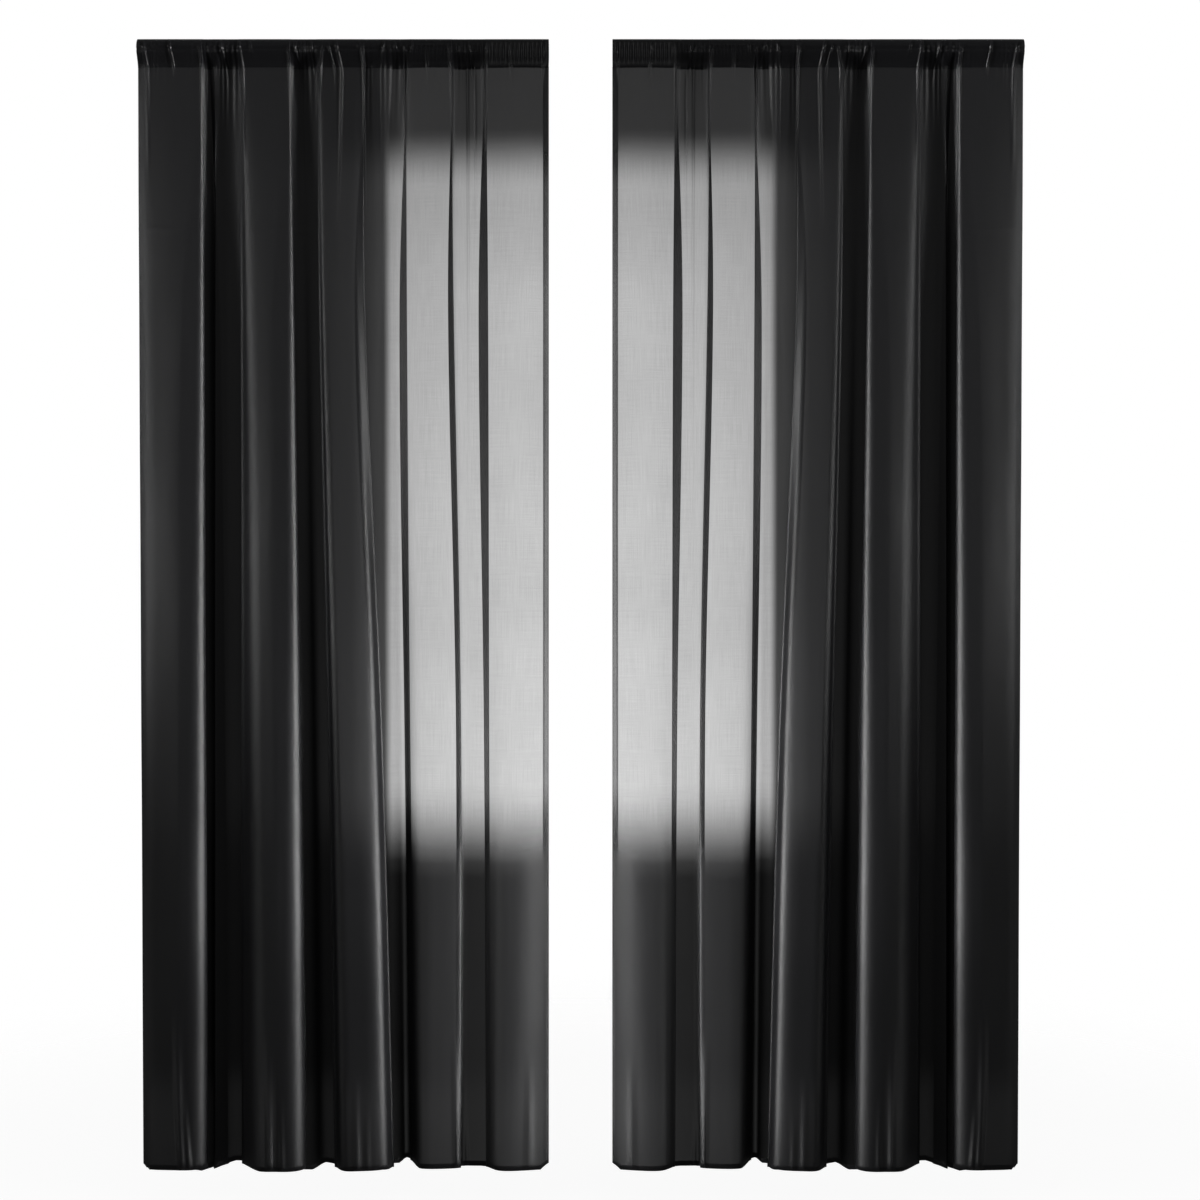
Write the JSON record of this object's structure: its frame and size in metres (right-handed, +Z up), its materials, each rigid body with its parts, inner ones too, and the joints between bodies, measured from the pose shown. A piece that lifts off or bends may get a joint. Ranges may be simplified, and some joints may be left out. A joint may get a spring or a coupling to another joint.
{
  "type": "sheer voile curtains",
  "caption": "Sheer dark voile curtains hanging still from rod pockets, gathered along the top and falling in soft uneven folds to narrow stitched hems.",
  "frame": {"origin": "on the top edge of the pockets, midway between the two panels, in the plane that the folds swing about", "axes": "+Z up along the drop, +X along the rod towards the right panel, -Y towards the room, so +Y is through the cloth towards the back"},
  "size_m": [1.6764, 0.0952, 2.134],
  "materials": {
    "voile": "fine plain weave of thin slightly lustrous yarn, see-through, darker where folds double it",
    "gathered_voile": "the same weave, gathered and doubled, so nearly opaque"
  },
  "bodies": {
    "root": {"left_panel": "voile", "left_rod_pocket": "gathered_voile", "right_panel": "voile", "right_rod_pocket": "gathered_voile"}
  },
  "joints": []
}
